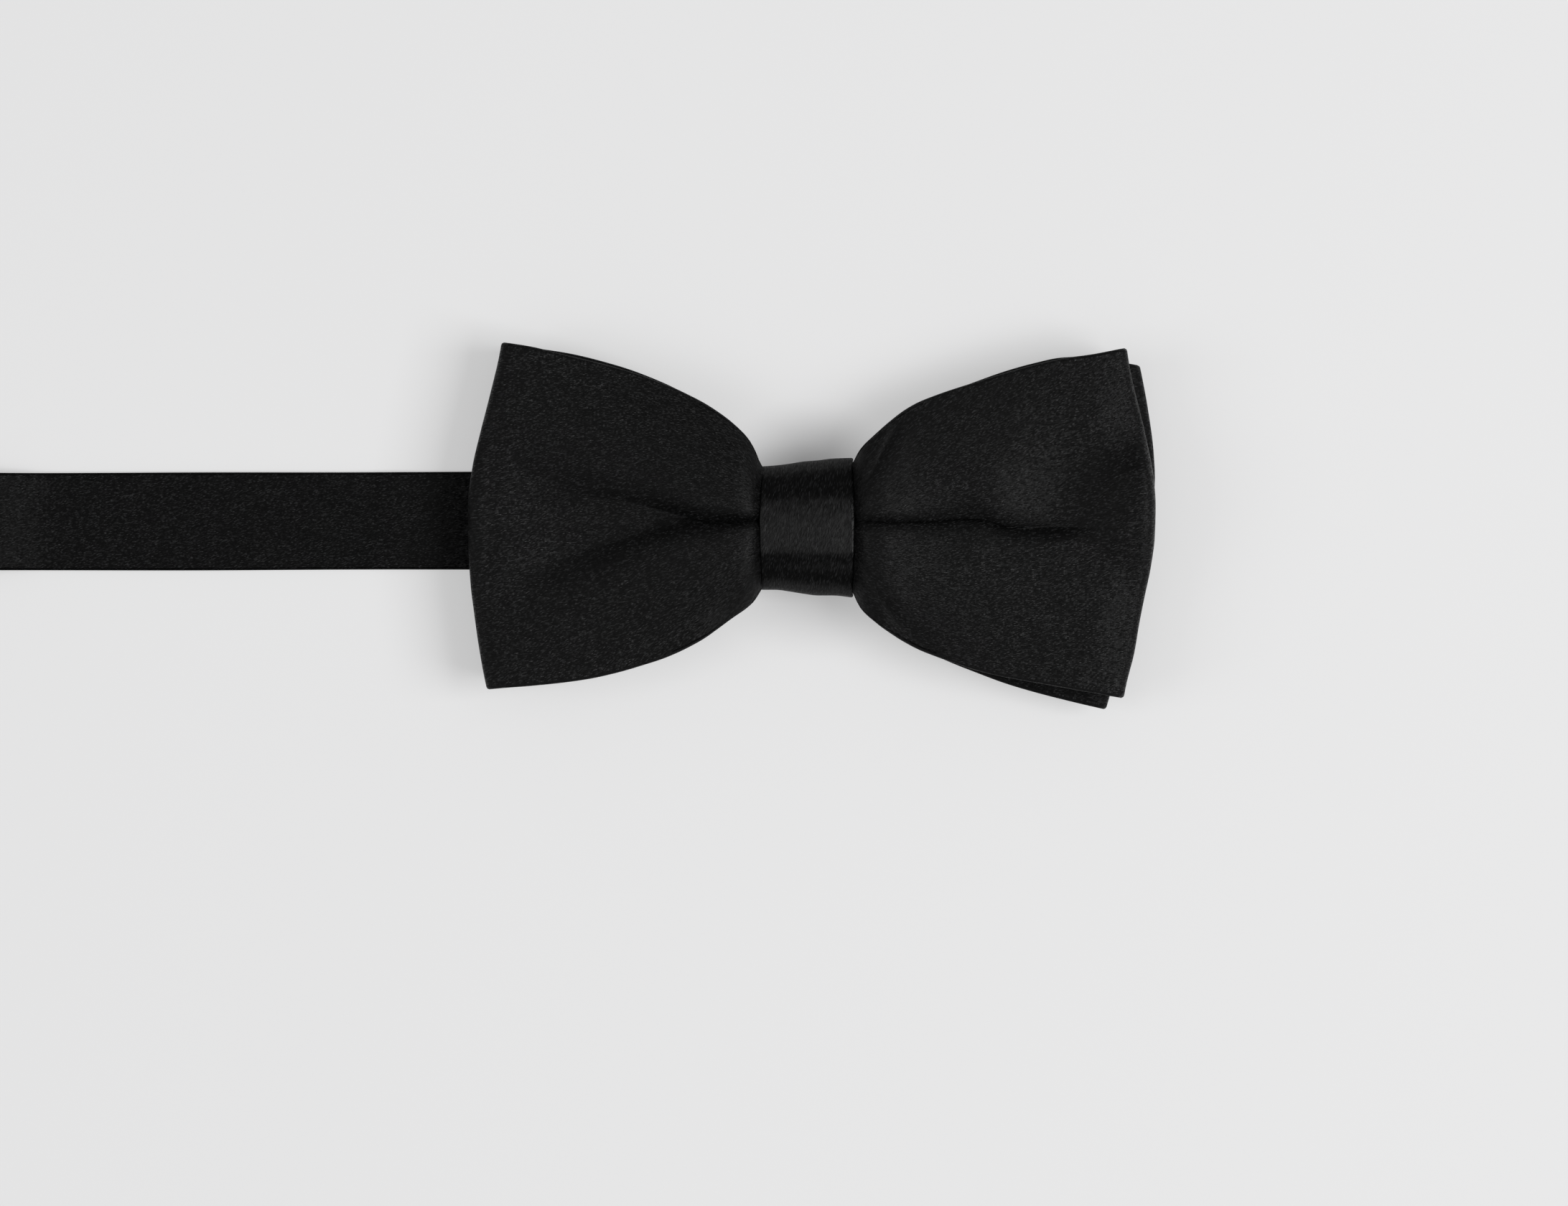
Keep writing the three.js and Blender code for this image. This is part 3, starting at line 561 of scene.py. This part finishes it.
def make_bow(name, left, right, mat):
    R = bow_surface(1, *right)
    Lf = bow_surface(-1, *left)
    # right side runs front to back, then the left side is walked the other way
    S = np.concatenate([R, Lf[::-1][1:-1]], 0)
    P, U, VV = panel_solid(S, HALF_T, True)
    return tube_mesh(name, P, U, VV, mat, loop_s=True)


front = make_bow("front_bow_satin", (front_left_top, FRONT_BOTTOM, FRONT_LEFT, END_FL),
                 (front_right_top, FRONT_BOTTOM, FRONT_RIGHT, END_FR), SATIN_WING)
back = make_bow("back_bow_satin", (BACK_TOP, BACK_BOTTOM, BACK_LEFT, END_BL),
                (BACK_TOP, BACK_BOTTOM, BACK_RIGHT, END_BR), SATIN_BACK)


# ------------------------------------------------------------------ the knot
KNOT_TOP = 14.0


def knot_ring(name, half_t, inset, half_width, zb, zt, mat, crown=True):
    """A band round the waist: rounded in front, flat behind, widening a little to the right."""
    top_y = along([[-8.4, 10.7], [-5.5, 10.9], [-3.0, 11.2], [-0.5, 11.6], [2.0, 11.8], [4.5, 12.1], [8.4, 12.25]])
    low_y = along([[-8.4, -10.9], [-5.5, -10.9], [-3.0, -11.2], [-0.5, -11.6], [2.0, -11.9], [4.5, -11.9], [8.4, -12.3]])
    n_round, n_across = 140, 36
    a = np.linspace(0, 2 * math.pi, n_round, endpoint=False) + math.pi / 2
    xs = np.linspace(-1, 1, n_across)
    S = np.zeros((n_round, n_across, 3))
    for i, ang in enumerate(a):
        c, s = math.cos(ang), math.sin(ang)
        front_face = s > 0
        p = 2.35 if front_face else 6.0
        r = (abs(c) ** p + abs(s) ** p) ** (-1 / p)
        cy, cz = c * r, s * r
        half_w = half_width - 0.30 * smooth(0.2, 1.0, abs(cy)) * (1 if front_face else 0.6)
        x = xs * half_w
        hy = np.where(cy > 0, top_y(x), -low_y(x)) - half_t - inset
        y = cy * hy
        mid = (zt + zb) / 2
        z = mid + cz * ((zt - zb) / 2 - half_t)
        if front_face:
            # nearly flat over the middle, then it turns down in a soft bend on either side
            z = z - (0.36 * smooth(4.9, 7.6, y) + 0.38 * smooth(4.2, 6.5, -y)) * cz
        if front_face and crown:
            # crowned a little, with a faint rise at both edges where the satin is turned in
            z = z + 0.10 * np.exp(-((np.abs(xs) - 0.93) / 0.06) ** 2) * cz
            z = z - 0.22 * xs ** 2 * cz
            z = z + 0.07 * waves(x, y, 21, 9) * cz
        elif crown:
            # the turned-in end is drawn down along the seam
            z = z + 0.14 * np.exp(-(((y - 6.0) / 0.5) ** 2))
        S[i, :, 0], S[i, :, 1], S[i, :, 2] = x, y, z
    P, U, VV = panel_solid(S, half_t, True)
    return tube_mesh(name, P, U, VV, mat, loop_s=True)


wrap = knot_ring("knot_wrap_satin", 0.34, 0.0, 8.3, 0.10, KNOT_TOP, SATIN_KNOT)
wrap_lining = knot_ring("knot_interlining_strip", 0.14, 0.90, 7.6, 0.92, KNOT_TOP - 1.15, LINING, crown=False)


def thread_tube(name, points, radius, mat, sides=7, closed=False):
    """Sewing thread along a polyline, in millimetres."""
    cu = bpy.data.curves.new(name, "CURVE")
    cu.dimensions = "3D"
    cu.bevel_depth = radius * MM
    cu.bevel_resolution = max(0, sides // 4)
    cu.use_fill_caps = True
    for pts in points:
        sp = cu.splines.new("POLY")
        sp.points.add(len(pts) - 1)
        for q, pt in zip(sp.points, pts):
            q.co = (pt[0] * MM, pt[1] * MM, pt[2] * MM, 1)
        sp.use_cyclic_u = closed
        sp.use_smooth = True
    tmp = bpy.data.objects.new(name + "_path", cu)
    bpy.context.collection.objects.link(tmp)
    dg = bpy.context.evaluated_depsgraph_get()
    me = bpy.data.meshes.new_from_object(tmp.evaluated_get(dg))
    bpy.data.objects.remove(tmp)
    bpy.data.curves.remove(cu)
    me.materials.clear()
    me.materials.append(mat)
    ob = bpy.data.objects.new(name, me)
    bpy.context.collection.objects.link(ob)
    return ob


def binding():
    """Thread wound tightly round the waist, under the wrap."""
    turns, per = 7, 56
    pts = []
    for i in range(turns * per + 1):
        ang = 2 * math.pi * i / per
        c, s = math.cos(ang), math.sin(ang)
        r = (abs(c) ** 3.2 + abs(s) ** 3.2) ** (-1 / 3.2)
        x = -1.9 + 3.8 * i / (turns * per) + 0.08 * math.sin(ang * 3.3)
        pts.append((x, c * r * 9.4, 6.75 + s * r * 4.3))
    return thread_tube("waist_binding_thread", [pts], 0.26, THREAD)


pinch = binding()


def seam_stitches():
    """Slip stitches closing the wrap on its underside, drawn from side to side."""
    rows = []
    bites = 14
    for i in range(bites):
        x = -7.0 + 14.0 * i / (bites - 1)
        side = 1 if i % 2 else -1
        pts = []
        for t in np.linspace(0, 1, 7):
            pts.append((x + 0.9 * (t - 0.5), 6.0 + side * 0.62 * (2 * t - 1), 0.24 - 0.12 * math.sin(math.pi * t)))
        rows.append(pts)
    return thread_tube("wrap_seam_thread", rows, 0.11, THREAD)


seam = seam_stitches()

# ------------------------------------------------------------------ the neckband
BAND_Y, BAND_W, BAND_HALF = 1.2, 17.2, 0.38


def arc_points(cx, cz, r, a0, a1, n):
    return [(cx + r * math.cos(math.radians(a)), cz + r * math.sin(math.radians(a))) for a in np.linspace(a0, a1, n)]


def resample(points, step):
    """Rounds a side view (x, z) off and spaces it evenly, finer where it turns."""
    p = np.array(points, float)
    for _ in range(3):
        q = [p[0]]
        for i in range(len(p) - 1):
            q += [p[i] * 0.75 + p[i + 1] * 0.25, p[i] * 0.25 + p[i + 1] * 0.75]
        q.append(p[-1])
        p = np.array(q)
    d = np.concatenate([[0], np.cumsum(np.linalg.norm(np.diff(p, axis=0), axis=1))])
    n = max(4, int(round(d[-1] / step)))
    t = np.linspace(0, d[-1], n + 1)
    return np.stack([np.interp(t, d, p[:, 0]), np.interp(t, d, p[:, 1])], 1)


def strap(name, points, step=1.2, wave=0.06, u0=0.0, edge_wander=0.06, lift=None, fixed_ends=(True, True)):
    """A flat satin tube strap: soft rolled edges, slightly dished middle, a little waviness along it."""
    line = resample(points, step)
    n = len(line)
    vv = np.concatenate([np.linspace(-1, -0.84, 6)[:-1], np.linspace(-0.84, 0.84, 19)[:-1], np.linspace(0.84, 1, 6)])
    tang = np.gradient(line, axis=0)
    tang /= np.linalg.norm(tang, axis=1, keepdims=True)
    nrm = np.stack([-tang[:, 1], tang[:, 0]], 1)
    run = np.concatenate([[0], np.cumsum(np.linalg.norm(np.diff(line, axis=0), axis=1))])
    still = np.ones(n)
    if fixed_ends[0]:
        still *= smooth(0, 6, run)
    if fixed_ends[1]:
        still *= smooth(0, 6, run[-1] - run)
    S = np.zeros((n, len(vv), 3))
    for i in range(n):
        half = BAND_W / 2 + edge_wander * still[i] * math.sin(run[i] / 9.0 + 1.3) * 0.6
        y = BAND_Y + vv * half + 0.10 * still[i] * math.sin(run[i] / 31.0)
        off = 0.10 * np.exp(-((np.abs(vv) - 0.93) / 0.05) ** 2) * 0.5
        off = off + wave * still[i] * waves(np.full_like(vv, line[i, 0]), y, 33, 18)
        if lift is not None:
            off = off + lift(line[i, 0], vv)
        S[i, :, 0] = line[i, 0] + nrm[i, 0] * off * np.sign(nrm[i, 1] + 1e-9)
        S[i, :, 1] = y
        S[i, :, 2] = line[i, 1] + nrm[i, 1] * off * np.sign(nrm[i, 1] + 1e-9)
    P, U, VV = panel_solid(S, BAND_HALF, False, u0)
    ob = tube_mesh(name, P, U, VV, SATIN_BAND, loop_s=False)
    return ob, run[-1]


long_band, LONG_LEN = strap("neckband_long_strand", [
    (8.3, 2.0), (-8.9, 2.0), (-14, 1.5), (-24, 0.8), (-34, 0.55), (-62, 0.55), (-68, 0.62), (-72.5, 1.0), (-77, 0.60),
    (-84, 0.55), (-132, 0.55), (-136, 1.1), (-142, 3.0), (-146, 3.7), (-152, 3.7), (-291.85, 3.7)], fixed_ends=(True, True))
loop_band, LOOP_LEN = strap("neckband_returned_end", [
    (-291.85, 3.7), (-293.6, 3.7)] + arc_points(-295, 2.1, 1.6, 90, 270, 13) + [(-293.6, 0.5), (-286, 0.52), (-180, 0.52), (-172.5, 0.5)]
    + arc_points(-170, 1.55, 1.05, -90, 90, 9) + [(-172.4, 2.6), (-175, 1.66), (-178, 1.60), (-182, 1.6)],
    step=0.9, u0=LONG_LEN, wave=0.03)
short_band, SHORT_LEN = strap("neckband_short_end", [
    (8.6, 2.0), (12, 1.7), (18, 1.0), (25, 0.52), (42.5, 0.52)] + arc_points(44, 1.8, 1.3, -90, 90, 11)
    + [(41.4, 3.1), (38, 1.66), (35, 1.6), (30, 1.6)], step=0.8, wave=0.03)


def bar_tack(name, x, z_top, z_low):
    """A dense zigzag of thread over the sewn-down end of a strap, seen on both faces."""
    rows = []
    rng = np.random.RandomState(11)
    count = 34
    for z, bulge in ((z_top, 1), (z_low, -1)):
        pts = []
        for i in range(count):
            y = BAND_Y - 6.4 + 12.8 * i / (count - 1)
            side = 1 if i % 2 else -1
            dx = 0.85 + rng.uniform(-0.06, 0.06)
            pts.append((x + side * dx, y, z - 0.06 * bulge))
            if i < count - 1:
                pts.append((x, y + 6.4 / (count - 1), z + 0.10 * bulge))
        rows.append(pts)
    return thread_tube(name, rows, 0.13, THREAD)


slide_tack = bar_tack("slide_end_bartack", -178.5, 2.08, 1.16)
eye_tack = bar_tack("eye_end_bartack", 33.5, 2.08, 1.16)


# ------------------------------------------------------------------ nickel fittings
def softened(node, name, width=0.22):
    """The fitting's own solid with its pressed edges rounded."""
    import bmesh
    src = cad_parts[node]
    me = src.data.copy()
    me.name = name
    bm = bmesh.new()
    bm.from_mesh(me)
    bmesh.ops.remove_doubles(bm, verts=bm.verts, dist=1e-6)
    bmesh.ops.dissolve_limit(bm, angle_limit=math.radians(3), verts=bm.verts, edges=bm.edges)
    bm.to_mesh(me)
    bm.free()
    me.materials.clear()
    me.materials.append(NICKEL)
    ob = bpy.data.objects.new(name, me)
    bpy.context.collection.objects.link(ob)
    ob.matrix_world = src.matrix_world.copy()
    mod = ob.modifiers.new("edges", "BEVEL")
    mod.width = width * MM
    mod.segments = 3
    mod.limit_method = "ANGLE"
    mod.angle_limit = math.radians(32)
    mod.use_clamp_overlap = True
    dg = bpy.context.evaluated_depsgraph_get()
    out = bpy.data.meshes.new_from_object(ob.evaluated_get(dg))
    ob.modifiers.clear()
    ob.data = out
    out.polygons.foreach_set("use_smooth", [True] * len(out.polygons))
    out.set_sharp_from_angle(angle=math.radians(40))
    return ob


slide_visual = softened("adjuster_slide", "adjuster_slide_nickel")
hook_visual = softened("hook", "neckband_hook_nickel")
eye_visual = softened("eye", "neckband_eye_nickel")

# ------------------------------------------------------------------ stage and light
def make_floor():
    me = bpy.data.meshes.new("floor")
    s = 3.0
    z = -0.06 * MM
    me.from_pydata([(-s, -s, z), (s, -s, z), (s, s, z), (-s, s, z)], [], [(0, 1, 2, 3)])
    mat, nt, bsdf = nodes_of("floor")
    # a pale floor that glows on its own, so shadows stay faint; its glow is lowered in two soft spots above and below
    # the knot, a painted contact shadow
    bsdf.inputs["Base Color"].default_value = (0.45, 0.45, 0.453, 1)
    bsdf.inputs["Emission Color"].default_value = (1, 1, 1, 1)
    N, L = nt.nodes, nt.links
    tc = N.new("ShaderNodeTexCoord")
    glow = None
    # painted contact shadow: each spot lowers the floor's glow near the knot
    for (cx, cy, rx, ry, painted_shadow_depth) in ((0.0, 0.0120, 0.016, 0.0115, 0.24), (0.0, -0.0130, 0.016, 0.0115, 0.11)):
        mp = N.new("ShaderNodeMapping")
        mp.vector_type = "TEXTURE"
        mp.inputs["Location"].default_value = (cx, cy, 0)
        mp.inputs["Scale"].default_value = (rx, ry, 1)
        L.new(tc.outputs["Object"], mp.inputs["Vector"])
        painted_shadow_spot = N.new("ShaderNodeTexGradient")
        painted_shadow_spot.gradient_type = "SPHERICAL"
        L.new(mp.outputs["Vector"], painted_shadow_spot.inputs["Vector"])
        soft = N.new("ShaderNodeMapRange")
        soft.interpolation_type = "SMOOTHSTEP"
        soft.inputs["To Min"].default_value = 0.0
        soft.inputs["To Max"].default_value = painted_shadow_depth
        L.new(painted_shadow_spot.outputs["Fac"], soft.inputs["Value"])
        take = N.new("ShaderNodeMath")
        take.operation = "SUBTRACT"
        if glow is None:
            take.inputs[0].default_value = 0.40
        else:
            L.new(glow, take.inputs[0])
        L.new(soft.outputs["Result"], take.inputs[1])
        glow = take.outputs[0]
    L.new(glow, bsdf.inputs["Emission Strength"])
    bsdf.inputs["Roughness"].default_value = 0.9
    bsdf.inputs["Specular IOR Level"].default_value = 0.1
    me.materials.append(mat)
    ob = bpy.data.objects.new("floor", me)
    bpy.context.collection.objects.link(ob)


def area(name, loc, target, size, power, colour=(1, 1, 1)):
    d = bpy.data.lights.new(name, "AREA")
    d.shape = "RECTANGLE"
    d.size, d.size_y = size
    d.energy = power
    d.color = colour
    o = bpy.data.objects.new(name, d)
    o.location = loc
    o.rotation_euler = (Vector(target) - Vector(loc)).to_track_quat("-Z", "Y").to_euler()
    bpy.context.collection.objects.link(o)


make_floor()
area("overhead", (0.02, -0.05, 1.30), (0, 0, 0), (1.8, 1.4), 3.2)
area("right_box", (0.95, -0.16, 1.2), (0, 0, 0), (0.8, 0.9), 14.0)
area("left_box", (-1.15, -0.16, 1.0), (0, 0, 0), (0.7, 0.9), 4.5)
world = bpy.data.worlds.new("world")
bpy.context.scene.world = world
world.use_nodes = True
world.node_tree.nodes["Background"].inputs["Color"].default_value = (1, 1, 1, 1)
world.node_tree.nodes["Background"].inputs["Strength"].default_value = 0.20

# ------------------------------------------------------------------ what rides on what
for piece in (front, back, wrap, wrap_lining, pinch, seam, short_band, eye_tack):
    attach(piece, "root")
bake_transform(long_band)
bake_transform(loop_band)
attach(slide_tack, "adjuster")
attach(slide_visual, "adjuster")
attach(hook_visual, "hook_body")
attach(eye_visual, "eye_body")

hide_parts("front_bow", "front_bow_interlining")
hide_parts("back_bow", "back_bow_interlining")
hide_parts("knot_wrap")
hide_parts("knot_interlining")
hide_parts("pinch_thread")
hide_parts("knot_stitches")
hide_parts("neckband_long")
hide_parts("neckband_return", "neckband_fold")
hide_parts("neckband_short")
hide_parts("slide_bartack")
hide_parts("eye_bartack")
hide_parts("adjuster_slide")
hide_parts("hook")
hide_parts("eye")
